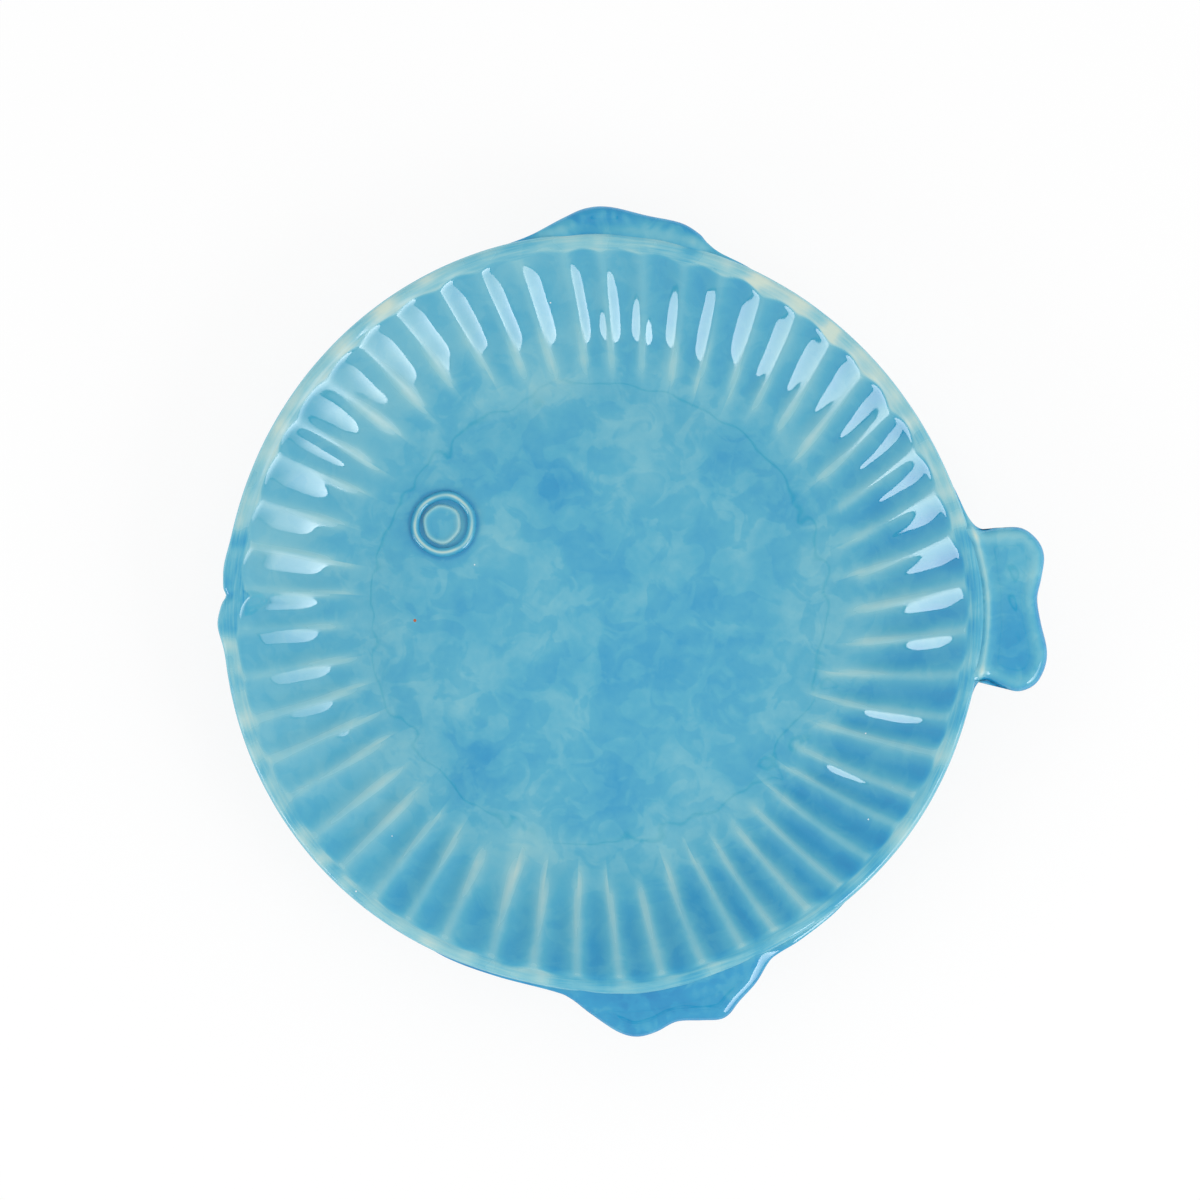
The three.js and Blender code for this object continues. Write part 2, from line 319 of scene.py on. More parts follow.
dishGlaze = glazeMaterial("turquoiseGlaze", onDish=True)
finGlaze = glazeMaterial("finGlaze", cloudy=1.1)
eyeGlaze = glazeMaterial("eyeGlaze", cloudy=0.5)
bareClay = clayMaterial("bareClay")
print("materials made")


# A piece from points in millimetres, with the thickness of its glaze at each point
def addPiece(name, points, faces, material, node, thickness=None, lip=None):
    place = (np.asarray(points) + (dishX, dishY, 0)) * mm
    mesh = bpy.data.meshes.new(name)
    mesh.from_pydata(place.tolist(), [], [tuple(face) for face in faces])
    mesh.validate()
    shell = bmesh.new()
    shell.from_mesh(mesh)
    bmesh.ops.recalc_face_normals(shell, faces=shell.faces)
    shell.to_mesh(mesh)
    shell.free()
    mesh.polygons.foreach_set("use_smooth", np.ones(len(mesh.polygons), bool))
    for key, values in (("glaze", thickness), ("lip", lip)):
        if values is not None:
            layer = mesh.attributes.new(key, "FLOAT", "POINT")
            layer.data.foreach_set("value", np.asarray(values, np.float32).ravel())
    mesh.materials.append(material)
    piece = bpy.data.objects.new(name, mesh)
    bpy.context.scene.collection.objects.link(piece)
    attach(piece, "root")
    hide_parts(node)
    print(name, len(mesh.polygons), "faces")


# Quads between rings of points that follow each other, each ring closed on itself
def ringFaces(first, ringCount, size):
    k = np.arange(size)
    after = (k + 1) % size
    faces = []
    for ring in range(ringCount - 1):
        low = first + ring * size
        faces.append(np.stack([low + k, low + size + k, low + size + after, low + after], 1))
    return np.concatenate(faces).tolist()


# Triangles between a ring and the next one, which has four times as many points
def stitchFaces(coarse, fine, size):
    faces = []
    for k in range(size):
        here = coarse + k
        after = coarse + (k + 1) % size
        edge = [fine + (4 * k + j) % (4 * size) for j in range(5)]
        faces += [(here, edge[0], edge[1]), (here, edge[1], edge[2]), (here, edge[2], after)]
        faces += [(after, edge[2], edge[3]), (after, edge[3], edge[4])]
    return faces


dish = {  # a wander is size, wavelength, seed
    "rimRadius": 105, "rimThickness": 6, "edgePower": 0.75, "edgeMiddle": 0.62,
    "rimWaves": [(0.46, 1, 92), (0.49, 2, 134), (0.63, 3, 98)],
    "swells": [(0.7, 173, 2.2), (1.6, 181.6, 2), (1.8, 2, 8), (2.2, 277, 9)],  # reach, direction, spread
    "notch": (0.9, 177.3, 0.75),
    "wellRadius": 66, "wallFull": 80, "wallCurve": 1.5, "wallEase": 7, "undersideInset": 3,
    "lipStart": 101.2, "lipCrown": 0.5, "lipBlend": 1.4, "lipWander": (0.12, 14, 5),
    "wellWander": (0.055, 17, 4), "dabs": (0.013, 9, 14), "wallWander": (0.02, 13, 3),
    "shelfWander": (0.05, 10, 17), "shelfAt": 62, "shelfSpread": 9,
    "underWander": (0.06, 19, 6), "turningMark": 0.05, "turningPitch": 4.5,
    "underFrom": 60, "underTo": 70, "turningTo": 66,
}
flute = {
    "count": 52, "depth": 1.4, "depthSpread": 0.1,
    "start": 5.4, "swirl": 0.07, "swirlLean": 0.8, "swirlMost": 15,
    "spacing": [(4.1, 1, 199), (1.1, 2, 50), (1.2, 3, 41)], "jitter": 0.32,
    "innerEnd": 70, "innerWaves": [(2.5, 3, 145), (1.5, 1, 190)], "innerSpread": 1.4, "runIn": 13,
    "outerEnd": 104, "runOut": 9.5, "lowerRunOut": 2, "outerShare": 0.6, "lowerShare": 0.38,
    "ridgeRound": 0.14, "bottomRound": 0.4,
    "columns": 16, "crowding": 0.55, "seed": 52,
}
mouth = {
    "at": 178.3, "slant": 34, "depth": 0.9, "halfWidth": 1.0, "fadeFrom": 2.5, "length": 6.4,
    "overhang": 0.5,
    "upperStep": 1.1, "upperFrom": -12, "upperTo": -7,
    "lowerStep": 3.6, "lowerFrom": -0.9, "lowerTo": 0.1, "stepAt": 177, "stepEnd": 6.5,
    "stepInner": 92, "stepOuter": 101,
}


def rimOffset(angle):  # how far the rim lies outside its mean circle
    reach = waves(angle, dish["rimWaves"])
    for size, at, spread in dish["swells"]:
        reach = reach + size * np.exp(-0.5 * (turnTo(angle, at) / spread) ** 2)
    size, at, spread = dish["notch"]
    return reach - size * hump(turnTo(angle, at), 0, spread)


def platePoint(radius, angle):  # the well is round, the wall grows into the uneven rim
    share = np.clip((radius - dish["wellRadius"]) / (dish["rimRadius"] - dish["wellRadius"]), 0, 1)
    moved = radius + share * rimOffset(angle)
    return moved * np.cos(angle), moved * np.sin(angle)


# One column of the mesh after the other, crowded at the ridges, with what each flute has of its own
def fluteColumns():
    draw = np.random.default_rng(flute["seed"])
    count = flute["count"]
    columns = flute["columns"]
    number = np.repeat(np.arange(count), columns)
    share = np.tile(np.arange(columns) / columns, count)
    share = share - flute["crowding"] * np.sin(2 * pi * share) / (2 * pi)
    jitter = draw.normal(0, flute["jitter"], count + 1)
    jitter[count] = jitter[0]
    deeper = 1 + draw.normal(0, flute["depthSpread"], count)
    inner = draw.normal(0, flute["innerSpread"], count)
    even = 2 * pi * (number + share) / count
    drift = flute["start"] + waves(even, flute["spacing"])
    drift = drift + jitter[number] * (1 - share) + jitter[number + 1] * share
    across = 1 - np.abs(2 * share - 1)  # 0 on a ridge, 1 in the middle of a flute
    return {"even": even, "drift": drift, "across": across,
            "deeper": deeper[number], "inner": inner[number]}


def mouthStep(angle):  # beside the mouth the wall reaches the lip further in
    turn = turnTo(angle, mouth["stepAt"])
    late = smooth(turn, mouth["lowerFrom"], mouth["lowerTo"])
    upper = mouth["upperStep"] * smooth(turn, mouth["upperFrom"], mouth["upperTo"]) * (1 - late)
    return upper + mouth["lowerStep"] * late * np.clip(1 - turn / mouth["stepEnd"], 0, 1)


def mouthCrease(x, y):  # from a point on the rim inwards
    heading = radians(mouth["at"] + 180 + mouth["slant"])
    tipRadius = dish["rimRadius"] + mouth["overhang"]
    fromTipX = x - tipRadius * cos(radians(mouth["at"]))
    fromTipY = y - tipRadius * sin(radians(mouth["at"]))
    inwards = fromTipX * cos(heading) + fromTipY * sin(heading)
    aside = fromTipY * cos(heading) - fromTipX * sin(heading)
    return hump(aside, 0, mouth["halfWidth"]) * (1 - smooth(inwards, mouth["fadeFrom"], mouth["length"]))


def rounded(value, softness):  # a straight rise from 0 to 1 with a rounded start
    return (np.hypot(value, softness) - softness) / (np.hypot(1, softness) - softness)


# Everything about a place on the upper face that its height and its glaze need
def upperFace(rows, columns):
    radius = rows[:, None]
    even = columns["even"][None, :]
    lean = 1 + flute["swirlLean"] * np.cos(even - radians(flute["swirlMost"]))
    swirl = flute["swirl"] * lean * np.maximum(radius - dish["wellRadius"], 0)
    angle = even + np.radians(columns["drift"] + swirl)
    x, y = platePoint(radius, angle)
    # wall
    stepped = mouthStep(angle) * smooth(radius, mouth["stepInner"], mouth["stepOuter"])
    along = radius + stepped - dish["wellRadius"]
    along = (along + np.sqrt(along ** 2 + dish["wallEase"] ** 2)) / 2
    along = along / (dish["lipStart"] - dish["wellRadius"])
    wall = wellFloor + (rimTop - wellFloor) * along ** dish["wallCurve"]
    # flutes pressed into it, which end softer on the lower side
    inner = flute["innerEnd"] + waves(angle, flute["innerWaves"]) + columns["inner"]
    runIn = smooth(radius, inner, inner + flute["runIn"])
    low = 0.5 - 0.5 * np.sin(angle)
    outer = flute["outerEnd"]
    runOut = smooth(radius, outer - flute["runOut"] - flute["lowerRunOut"] * low, outer)
    runOut = 1 - (flute["outerShare"] + flute["lowerShare"] * low) * runOut
    across = rounded(columns["across"], flute["ridgeRound"])
    shape = 1 - rounded(1 - across, flute["bottomRound"])
    pressed = flute["depth"] * columns["deeper"] * runIn * runOut * shape
    uneven = wander(x, y, *dish["wallWander"]) * smooth(radius, dish["wellRadius"], dish["wallFull"])
    uneven = uneven + wander(x, y, *dish["wellWander"]) + wander(x, y, *dish["dabs"])
    shelf = hump(radius, dish["shelfAt"], dish["shelfSpread"])
    uneven = uneven + wander(x, y, *dish["shelfWander"]) * shelf
    wall = wall - pressed + uneven
    # lip
    lipMiddle = (dish["lipStart"] + dish["rimRadius"]) / 2
    lipHalf = (dish["rimRadius"] - dish["lipStart"]) / 2
    fromMiddle = np.maximum(radius - lipMiddle, -lipHalf) / lipHalf
    lipTop = rimTop - dish["lipCrown"] * fromMiddle ** 2
    lipTop = lipTop + wander(x, y, *dish["lipWander"])
    crease = mouthCrease(x, y)
    height = lowerOf(wall, lipTop, dish["lipBlend"]) - mouth["depth"] * crease
    full = np.ones_like(angle)
    return {"x": x, "y": y, "z": height, "angle": angle, "radius": radius * full,
            "inner": inner, "runIn": runIn, "across": across * full, "shape": shape * full,
            "crease": crease, "lipEdge": lipTop - wall}


coat = {  # thickness of the glaze, 1 in the well, with painted shade in the flutes towards the right; a wander is size, wavelength, seed
    "well": 1.02, "wide": (0.08, 48, 12),
    "shelf": -0.14, "shelfAt": 67, "shelfSpread": 7, "shelfLean": 0.5, "shelfMost": 150,
    "ridge": 0.2, "ridgeSpread": 0.9, "ridgeSide": 0.22, "ridgeSideSpread": 2.5,
    "ridgeFade": 5, "ridgeUpper": 0.6, "ridgeLower": 1.05,  # on the upper and the lower side of the dish
    "innerUpper": 0.75, "innerLower": 0.35, "innerAt": 7, "innerSpread": 8,  # more at the inner ends
    # towards the right the flutes get more glaze: partly pooled glaze, partly painted shade
    "channel": -0.17, "rightChannelPoolAndShade": 0.49, "poolAndShadeMost": 330,
    "pool": 0.19, "poolFrom": 84, "poolTo": 97, "poolWander": (0.35, 12, 9),
    "lip": 0.47, "lipFine": (0.12, 9, 8), "lipBroad": (0.1, 28, 16),
    "lipFrom": -0.5, "lipTo": 0.25, "lipUpper": -0.25, "lipLower": 0.65,  # further out on the lower side
    "lipLine": 0.1, "lipLineAt": 0.05, "lipLineSpread": 0.4,
    "edge": 0.7, "edgeFrom": 103.9, "edgeTo": 104.9, "crease": 0.7,
    "lipParts": [  # more or less glaze, first and last direction, softness of the ends
        (0.52, 168, 183.5, 1.5), (0.18, 72, 106, 4), (-0.13, 18, 66, 8), (-0.1, 112, 166, 8),
        (0.2, 250, 344, 8), (0.46, -15, 13, 8), (0.25, 282, 318, 6),
    ],
    "under": 0.9, "underWander": (0.1, 25, 7), "least": 0.05, "most": 1.9,
}


# Thin on ridges and edges, pooled in hollows, with painted shade added in the flutes towards the right
def upperCoat(face):
    x, y, radius, angle = face["x"], face["y"], face["radius"], face["angle"]
    fromRidge = face["across"] * pi * radius / flute["count"]
    low = 0.5 - 0.5 * np.sin(angle)
    # the deeper blue flutes on the right side: partly pooled glaze, partly painted shade
    rightPoolAndShade = 0.5 + 0.5 * np.cos(angle - radians(coat["poolAndShadeMost"]))
    inner = face["inner"]
    ridgeOn = coat["ridgeUpper"] * (1 - low) + coat["ridgeLower"] * low
    innerOn = coat["innerUpper"] * (1 - low) + coat["innerLower"] * low
    ridgeOn = ridgeOn + innerOn * hump(radius, inner + coat["innerAt"], coat["innerSpread"])
    ridgeOn = ridgeOn * smooth(radius, inner - coat["ridgeFade"], inner + coat["ridgeFade"])
    shelf = hump(radius, coat["shelfAt"], coat["shelfSpread"])
    shelf = shelf * (1 + coat["shelfLean"] * np.cos(angle - radians(coat["shelfMost"])))
    thickness = coat["well"] + coat["shelf"] * shelf
    thickness = thickness - ridgeOn * coat["ridge"] * hump(fromRidge, 0, coat["ridgeSpread"])
    thickness = thickness - ridgeOn * coat["ridgeSide"] * hump(fromRidge, 0, coat["ridgeSideSpread"])
    channel = coat["channel"] + coat["rightChannelPoolAndShade"] * rightPoolAndShade
    thickness = thickness + channel * face["runIn"] * face["shape"]
    pool = smooth(radius, coat["poolFrom"], coat["poolTo"]) * face["shape"] ** 3 * rightPoolAndShade
    thickness = thickness + coat["pool"] * pool * (1 + wander(x, y, *coat["poolWander"]))
    thickness = thickness + wander(x, y, *coat["wide"])
    lipCoat = coat["lip"] + wander(x, y, *coat["lipFine"]) + wander(x, y, *coat["lipBroad"])
    for more, first, last, soft in coat["lipParts"]:
        lipCoat = lipCoat + more * between(angle, first, last, soft)
    further = coat["lipUpper"] * (1 - low) + coat["lipLower"] * low
    lipShare = smooth(-face["lipEdge"] - further, coat["lipFrom"], coat["lipTo"])
    thickness = thickness * (1 - lipShare) + lipCoat * lipShare
    thickness = thickness - coat["lipLine"] * hump(face["lipEdge"], coat["lipLineAt"], coat["lipLineSpread"])
    edgeShare = smooth(radius, coat["edgeFrom"], coat["edgeTo"])
    thickness = thickness + (coat["edge"] - thickness) * edgeShare
    thickness = thickness + coat["crease"] * face["crease"]
    return np.clip(thickness, coat["least"], coat["most"]), lipShare


bodyMesh = {  # rows of points by radius: first, last, count
    "inner": (2, 14, 6), "well": (16, 60, 26),
    "wall": [(61.5, 72, 12), (72.8, 96.5, 32), (97, 103.1, 21)],
    "edgeRows": 15, "underWallRows": 16, "underFloorRows": 22,
    "underEdgeGap": 0.8, "underFloorGap": 2, "underMiddle": 4,
}


def makeBody():
    fine = fluteColumns()
    coarse = {key: values[::4] for key, values in fine.items()}
    sparse = {key: values[::16] for key, values in fine.items()}
    fineSize = len(fine["even"])
    coarseSize = len(coarse["even"])
    sparseSize = len(sparse["even"])
    points = []
    thickness = []
    lip = []
    faces = []

    def addRows(x, y, z, layer, lipShare):  # gives the number of the first point
        first = sum(len(rows) for rows in points)
        points.append(np.stack([x, y, z], -1).reshape(-1, 3))
        thickness.append(np.ravel(layer))
        lip.append(np.ravel(lipShare))
        return first

    def addUpper(rows, columns):
        face = upperFace(rows, columns)
        layer, lipShare = upperCoat(face)
        first = addRows(face["x"], face["y"], face["z"], layer, lipShare)
        return first, face, layer

    # the well, from its middle out, with more and more columns
    middle = addRows([0], [0], [wellFloor + wander(0, 0, *dish["wellWander"])], [coat["well"]], [0])
    innerRows = np.linspace(*bodyMesh["inner"])
    first = addUpper(innerRows, sparse)[0]
    faces += [(middle, first + k, first + (k + 1) % sparseSize) for k in range(sparseSize)]
    faces += ringFaces(first, len(innerRows), sparseSize)
    last = first + (len(innerRows) - 1) * sparseSize
    wellRows = np.linspace(*bodyMesh["well"])
    first = addUpper(wellRows, coarse)[0]
    faces += stitchFaces(last, first, sparseSize)
    faces += ringFaces(first, len(wellRows), coarseSize)
    last = first + (len(wellRows) - 1) * coarseSize
    # wall and lip
    wallRows = np.concatenate([np.linspace(*rows) for rows in bodyMesh["wall"]])
    first, face, layer = addUpper(wallRows, fine)
    faces += stitchFaces(last, first, coarseSize)
    faces += ringFaces(first, len(wallRows), fineSize)
    last = first + (len(wallRows) - 1) * fineSize
    # outer edge, squarer than a true round
    angle = face["angle"][-1]
    rim = dish["rimRadius"] + rimOffset(angle)
    width = dish["rimRadius"] - wallRows[-1]
    low = rimTop - dish["rimThickness"]
    drop = face["z"][-1] - low
    turns = np.radians(np.linspace(90, -90, bodyMesh["edgeRows"])[1:])
    for turn in turns:
        out = abs(cos(turn)) ** dish["edgePower"]
        up = np.sign(sin(turn)) * abs(sin(turn)) ** dish["edgePower"]
        room = 1 - dish["edgeMiddle"] if up > 0 else dish["edgeMiddle"]
        radius = rim - width + width * out
        height = low + drop * (dish["edgeMiddle"] + room * up)
        share = smooth(1 - up, 0.0, 0.5)
        edgeCoat = layer[-1] * (1 - share) + coat["edge"] * share
        x = radius * np.cos(angle)
        y = radius * np.sin(angle)
        addRows(x, y, height, edgeCoat, np.full(fineSize, 1 - share))
    faces += ringFaces(last, 1 + len(turns), fineSize)
    last = last + len(turns) * fineSize
    # underside, with fewer columns
    underStart = dish["wellRadius"] + dish["undersideInset"]
    underEnd = dish["rimRadius"] - width
    underWall = np.linspace(underEnd - bodyMesh["underEdgeGap"], underStart, bodyMesh["underWallRows"])
    floorStart = underStart - bodyMesh["underFloorGap"]
    underFloor = np.linspace(floorStart, bodyMesh["underMiddle"], bodyMesh["underFloorRows"])
    radius = np.concatenate([underWall, underFloor])[:, None]
    along = np.clip((radius - underStart) / (underEnd - underStart), 0, 1)
    x, y = platePoint(radius, angle[None, ::4])
    lift = wander(x, y, *dish["underWander"]) * smooth(radius, dish["underFrom"], dish["underTo"])
    lift = lift + dish["turningMark"] * np.sin(2 * pi * radius / dish["turningPitch"])
    height = footTop + (low - footTop) * along ** dish["wallCurve"]
    height = height + np.abs(lift) * smooth(radius, dish["underFrom"], dish["turningTo"])
    first = addRows(x, y, height, coat["under"] + wander(x, y, *coat["underWander"]), 0 * x)
    faces += stitchFaces(first, last, coarseSize)
    faces += ringFaces(first, len(radius), coarseSize)
    last = first + (len(radius) - 1) * coarseSize
    middle = addRows([0], [0], [footTop], [coat["under"]], [0])
    faces += [(last + k, last + (k + 1) % coarseSize, middle) for k in range(coarseSize)]
    addPiece("plateBody", np.concatenate(points), faces, dishGlaze, "plate_body",
             np.concatenate(thickness), np.concatenate(lip))


makeBody()


# Smooth line through a few points: Catmull-Rom, then even steps along it
def smoothLine(knots, count):
    ends = np.concatenate([[2 * knots[0] - knots[1]], knots, [2 * knots[-1] - knots[-2]]])
    share = np.linspace(0, 1, 40, endpoint=False)[:, None]
    parts = []
    for k in range(len(knots) - 1):
        a, b, c, d = ends[k:k + 4]
        bend = 2 * a - 5 * b + 4 * c - d + share * (3 * (b - c) + d - a)
        parts.append(b + 0.5 * share * (c - a + share * bend))
    line = np.concatenate(parts + [knots[-1:]])
    length = np.concatenate([[0], np.cumsum(np.linalg.norm(np.diff(line, axis=0), axis=1))])
    at = np.linspace(0, length[-1], count)
    return np.stack([np.interp(at, length, line[:, 0]), np.interp(at, length, line[:, 1])], 1)


finShape = {
    "slices": 180, "across": 64, "sliceTurn": 0.7, "rowPower": 1.3, "edgePoints": 900,
    "sunk": 2.2, "fullWidth": 9, "rootFrom": -1, "rootTo": 5, "rootNarrow": 0.5, "rootWide": 5,
    "rootCrestAt": 1.2, "rootCrestSpread": 1.3, "rootCoatAt": 1.1, "edgeCoatSpread": 0.9,
    "crestIn": 2.6, "crestSpread": 1.7, "crestCoatSpread": 1.6, "wander": (0.03, 9, 11),
    "dotSpacing": 4.3, "dotWander": (0.25, 13, 15), "least": 0.1, "most": 1.9,
}
fins = {  # an outline is direction and reach beyond the rim, clockwise; a spot is glaze, place and size
    "dorsal_fin": {
        "edgeRound": 2.3, "crestHeight": 0.35, "dish": 0.35, "rootLift": 1.3, "rootCrest": 0,
        "coat": 1.34, "spots": [(0.2, -8, 106, 14)], "crestCoat": 0.4, "dots": 0.5,
        "rootCoat": -0.5, "rootSpread": 1.9, "edgeCoat": 0.25,
        "outline": [(110, -0.9), (105, -0.2), (100.2, 1.2), (95.4, 4.7), (92, 7.2), (88.5, 7.7),
                    (83.2, 6.2), (78.3, 5.9), (75.4, 4.3), (73.7, 2.3), (71.5, 0.9), (67, 0.2),
                    (63, -0.9)],
    },
    "ventral_fin": {
        "edgeRound": 3.6, "crestHeight": 0.2, "dish": 0.2, "rootLift": 1.2, "rootCrest": 0,
        "coat": 1.35, "spots": [(0.35, 10, -112, 9), (-0.7, 63, -86, 15)], "crestCoat": 0.06, "dots": 0,
        "rootCoat": 0.1, "rootSpread": 1.2, "edgeCoat": 0.2,
        "outline": [(314, -0.9), (308, 0.6), (301.6, 1.5), (297.9, 1.8), (296, 2.6), (293, 6.4),
                    (289.8, 9.3), (288, 11.5), (286.5, 12), (284, 10.6), (280.7, 9.2), (277.7, 11),
                    (275, 11.8), (272.4, 10.2), (268.7, 5.7), (265.7, 2.2), (263, 1), (254, 0.5),
                    (246, 0.3), (239, -0.8)],
    },
    "tail_fin": {
        "edgeRound": 2.3, "crestHeight": 0.5, "dish": 0.6, "rootLift": 1.2, "rootCrest": 0.5,
        "coat": 1.05, "spots": [(0.25, 116, -13, 9)], "crestCoat": 0.36, "dots": 0,
        "rootCoat": -0.6, "rootSpread": 0.8, "edgeCoat": 0.5,
        "outline": [(23, -0.9), (19.5, 0.1), (14.6, 1), (12.6, 3.2), (12.2, 8), (11.5, 14.3),
                    (9.6, 17.7), (7.4, 18.5), (4.6, 16.7), (1.9, 15), (-1.2, 16), (-4.5, 18.2),
                    (-6.9, 18.4), (-9.2, 16.6), (-10.5, 12.4), (-10.3, 7.5), (-9.8, 2.6),
                    (-10.8, 0.5), (-14, -0.3), (-18, -1)],
    },
}


def rimPoint(angle, reach):
    radius = dish["rimRadius"] + rimOffset(angle) + reach
    return np.stack([radius * np.cos(angle), radius * np.sin(angle)], -1)


def nearest(points, line):  # distance from each point to a fine line of points
    away = [np.min(np.linalg.norm(some[:, None] - line[None], axis=2), axis=1)
            for some in np.array_split(points, 6)]
    return np.concatenate(away)


def finCoat(facts, x, y, fromEdge, fromRim, full):
    spaced = x / finShape["dotSpacing"] + wander(x, y, *finShape["dotWander"])
    dots = 1 - facts["dots"] * (1 - np.cos(2 * pi * spaced))
    crest = hump(fromEdge, finShape["crestIn"], finShape["crestCoatSpread"]) * full
    thickness = facts["coat"] - facts["crestCoat"] * dots * crest
    for more, spotX, spotY, size in facts["spots"]:
        thickness = thickness + more * hump(np.hypot(x - spotX, y - spotY), 0, size)
    thickness = thickness + facts["rootCoat"] * hump(fromRim, finShape["rootCoatAt"], facts["rootSpread"])
    thickness = thickness + facts["edgeCoat"] * hump(fromEdge, 0, finShape["edgeCoatSpread"])
    return np.clip(thickness, finShape["least"], finShape["most"])


# A dished slab between the rim and the outline, with a crest along its edge and a root that rises to the lip
def makeFin(node, facts):
    low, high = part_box(node)
    slices = finShape["slices"]
    across = finShape["across"]
    angles = np.radians([direction for direction, reach in facts["outline"]])
    reaches = np.array([reach for direction, reach in facts["outline"]])
    knots = rimPoint(angles, reaches)
    edge = smoothLine(knots, slices)
    even = np.linspace(angles[0], angles[-1], slices)
    radial = even + (np.arctan2(edge[:, 1], edge[:, 0]) - even + pi) % (2 * pi) - pi
    inside = rimPoint(even + (radial - even) * finShape["sliceTurn"], -finShape["sunk"])
    share = 1 - (1 - np.linspace(0, 1, across)) ** finShape["rowPower"]
    plan = inside[:, None] + (edge - inside)[:, None] * share[None, :, None]
    plan = plan.reshape(-1, 2)
    x = plan[:, 0]
    y = plan[:, 1]
    fromEdge = nearest(plan, smoothLine(knots, finShape["edgePoints"]))
    fromRim = np.hypot(x, y) - dish["rimRadius"] - rimOffset(np.arctan2(y, x))
    width = np.repeat(np.linalg.norm(edge - inside, axis=1) - finShape["sunk"], across)
    full = smooth(width, 0, finShape["fullWidth"])
    # heights
    half = (high.z - low.z) / 2 / mm * (0.5 + 0.5 * full)
    middle = high.z / mm - half
    rounding = np.clip(fromEdge / facts["edgeRound"], 0, 1)
    lift = half * np.sqrt(1 - (1 - rounding) ** 2)
    crest = facts["crestHeight"] * hump(fromEdge, finShape["crestIn"], finShape["crestSpread"])
    root = facts["rootLift"] * (1 - smooth(fromRim, finShape["rootFrom"], finShape["rootTo"]))
    rootCrest = hump(fromRim, finShape["rootCrestAt"], finShape["rootCrestSpread"])
    root = root + facts["rootCrest"] * rootCrest
    root = root * smooth(width, finShape["rootNarrow"], finShape["rootWide"])
    upper = middle + lift + (crest - facts["dish"]) * full + root + wander(x, y, *finShape["wander"])
    lower = middle - lift
    points = np.concatenate([np.column_stack([x, y, upper]), np.column_stack([x, y, lower])])
    thickness = finCoat(facts, x, y, fromEdge, fromRim, full)
    # upper face, lower face and the sides between them
    count = slices * across
    index = np.arange(count).reshape(slices, across)
    upperFaces = np.stack([index[:-1, :-1], index[1:, :-1], index[1:, 1:], index[:-1, 1:]], -1)
    upperFaces = upperFaces.reshape(-1, 4)
    lowerFaces = upperFaces[:, ::-1] + count
    border = np.concatenate([index[0, :-1], index[:-1, -1], index[-1, :0:-1], index[:0:-1, 0]])
    after = np.roll(border, -1)
    sides = np.stack([border, after, after + count, border + count], -1)
    faces = np.concatenate([upperFaces, lowerFaces, sides]).tolist()
    addPiece(node.replace("_fin", "Fin"), points, faces, finGlaze, node,
             np.tile(thickness, 2), np.zeros(2 * count))


for finNode, finFacts in fins.items():
    makeFin(finNode, finFacts)


# A turned form from its half section
def turnedPoints(radius, height, steps, centreX, centreY, wobble=0.0, turn=0):
    angle = 2 * pi * np.arange(steps) / steps
    off = 1 + wobble * waves(angle, [(0.8, 2, 40 * turn), (0.6, 3, 75 * turn), (0.5, 6, 20 * turn)])
    x = centreX + radius[:, None] * np.cos(angle) * off
    y = centreY + radius[:, None] * np.sin(angle) * off
    z = height[:, None] + 0 * angle
    return np.stack([x, y, z], -1).reshape(-1, 3)


def turnedRing(rings, steps):  # the last ring of points joins the first again
    k = np.arange(steps)
    after = (k + 1) % steps
    last = (rings - 1) * steps
    return ringFaces(0, rings, steps) + np.stack([last + k, last + after, after, k], 1).tolist()


eye = {
    "steps": 144,
    "ringCrest": 8.05, "ringFoot": 1.3, "ringRows": 25, "ringWobble": 0.018,
    "ringCoat": 1.2, "ringBare": 1.1, "ringBareSpread": 0.5,
    "bareParts": [(0.6, 1, 45), (0.5, 2, 150), (0.5, 5, 20)], "bareUneven": 0.3, "bareLeast": 0.2,
    "pupilShift": -0.5, "pupilGrow": 0.5, "pupilEdge": 0.9, "pupilRows": 16, "pupilWobble": 0.035,
    "pupilFallFrom": -0.6, "pupilFallTo": 0.05, "sunk": 0.3,
    "pupilDish": 0.45, "pupilRim": 4.9, "pupilRimSpread": 1.0,
    "pupilCoat": 1.0, "pupilBare": 0.65, "pupilBareIn": 0.55, "pupilBareSpread": 0.8,
}


def makeEyeRing():
    steps = eye["steps"]
    crestAt = min(eye["ringCrest"], (ringHigh.x - ringLow.x) / 2 / mm - 1)
    turns = np.radians(np.linspace(-30, 210, eye["ringRows"]))
    radius = crestAt + eye["ringFoot"] * np.cos(turns)
    height = wellFloor + (ringHigh.z / mm - wellFloor) * np.sin(turns)
    points = turnedPoints(radius, height, steps, eyeX, eyeY, eye["ringWobble"], 1)
    around = 2 * pi * np.arange(steps) / steps
    bare = np.clip(1 - eye["bareUneven"] * waves(around, eye["bareParts"]), eye["bareLeast"], 1)
    crest = hump(radius, crestAt, eye["ringBareSpread"]) * (height > wellFloor)
    thickness = eye["ringCoat"] - eye["ringBare"] * crest[:, None] * bare[None, :]
    addPiece("eyeRing", points, turnedRing(len(radius), steps), eyeGlaze, "eye_ring",
             thickness, np.zeros(len(points)))


